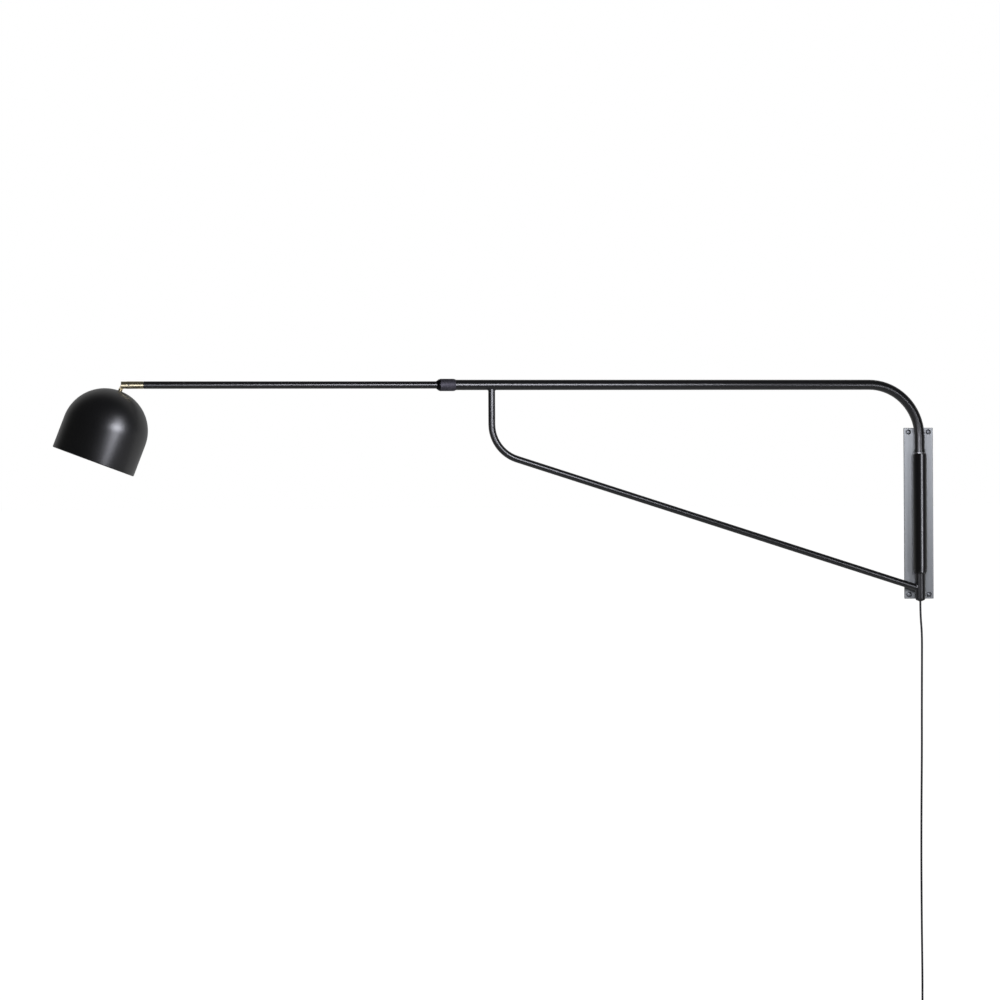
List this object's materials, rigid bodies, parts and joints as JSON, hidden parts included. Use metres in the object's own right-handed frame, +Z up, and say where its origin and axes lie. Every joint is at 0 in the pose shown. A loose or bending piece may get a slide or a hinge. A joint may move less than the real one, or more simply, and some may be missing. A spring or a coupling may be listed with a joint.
{
  "type": "swing-arm wall lamp",
  "caption": "Wall lamp with a long braced swing arm, a telescopic slide held by a lock collar, and a dome shade that rolls and tilts on a forked ferrule.",
  "frame": {"origin": "centre of the wall plate's back face, in the wall's plane", "axes": "+Y into the wall, +Z up, +X along the wall to the right; the arm reaches out along -X and turns 10 degrees out of the wall's plane at rest"},
  "size_m": [2.0447, 0.4903, 1.6934],
  "materials": {
    "plate_steel": "brushed",
    "screw_steel": "satin",
    "black_tube": "satin black",
    "black_bush": "satin black",
    "weld": "satin black",
    "washer_steel": "plain",
    "cap_plastic": "satin black",
    "outlet_rubber": "matt black",
    "cord_sheath": "matt black",
    "lead_sheath": "matt black",
    "collet_brass": "turned",
    "collar_grey": "matt dark grey",
    "slide_tube": "satin black",
    "guide_plastic": "natural",
    "swivel_black": "satin black",
    "ferrule_brass": "satin",
    "set_screw": "blackened",
    "pin_brass": "satin",
    "knuckle_brass": "satin",
    "shade_black": "satin black",
    "zinc": "zinc plated",
    "holder_plastic": "black",
    "holder_brass": "plain",
    "bulb_metal": "plain",
    "bulb_glass": "opal",
    "tie": "black",
    "plug_plastic": "black",
    "blade_brass": "plain"
  },
  "bodies": {
    "wall_mount": {"wall_plate": "plate_steel", "wall_screw_1": "screw_steel", "wall_screw_2": "screw_steel", "wall_screw_3": "screw_steel", "wall_screw_4": "screw_steel", "bearing_sleeve": "black_tube", "sleeve_weld_left": "weld", "sleeve_weld_right": "weld", "upper_bush": "black_bush", "lower_bush": "black_bush", "thrust_washer": "washer_steel", "cord_hanging": "cord_sheath", "cord_coil": "cord_sheath", "coil_tie": "tie", "cord_tail": "cord_sheath", "plug_body": "plug_plastic", "plug_blade_1": "blade_brass", "plug_blade_2": "blade_brass"},
    "arm": {"arm_tube": "black_tube", "stop_ring": "black_tube", "brace_tube": "black_tube", "brace_weld_upper": "weld", "brace_weld_lower": "weld", "post_cap": "cap_plastic", "cap_screw": "set_screw", "cord_outlet": "outlet_rubber", "arm_lead": "lead_sheath", "collet": "collet_brass"},
    "collar": {"lock_collar": "collar_grey"},
    "slide": {"slide_tube": "slide_tube", "rear_guide": "guide_plastic", "swivel_plug": "swivel_black", "slide_lead": "lead_sheath"},
    "swivel": {"ferrule": "ferrule_brass", "swivel_screw": "set_screw", "pivot_pin": "pin_brass"},
    "shade_group": {"knuckle": "knuckle_brass", "shade": "shade_black", "shade_washer": "zinc", "shade_nut": "zinc", "holder_cap": "holder_plastic", "holder_body": "holder_plastic", "holder_shell": "holder_brass", "holder_contact": "holder_brass", "bulb_base": "bulb_metal", "bulb_glass": "bulb_glass"}
  },
  "joints": [
    {"name": "arm_swing", "type": "hinge", "parent": "wall_mount", "child": "arm", "pos_m": [0, -0.02, 0], "axis": [0, 0, 1], "range_deg": [-6, 160]},
    {"name": "arm_slide", "type": "slide", "parent": "arm", "child": "slide", "axis": [-0.9848, -0.1736, 0], "range_m": [-0.655, 0]},
    {"name": "collar_twist", "type": "hinge", "parent": "arm", "child": "collar", "pos_m": [-1.47721, -0.28047, 0.308], "axis": [-0.9848, -0.1736, 0], "range_deg": [-60, 60]},
    {"name": "shade_roll", "type": "hinge", "parent": "slide", "child": "swivel", "pos_m": [-1.47721, -0.28047, 0.308], "axis": [-0.9848, -0.1736, 0], "range_deg": [-90, 90]},
    {"name": "shade_tilt", "type": "hinge", "parent": "swivel", "child": "shade_group", "pos_m": [-1.85223, -0.3466, 0.308], "axis": [-0.1736, 0.9848, 0], "range_deg": [-35, 60]}
  ]
}
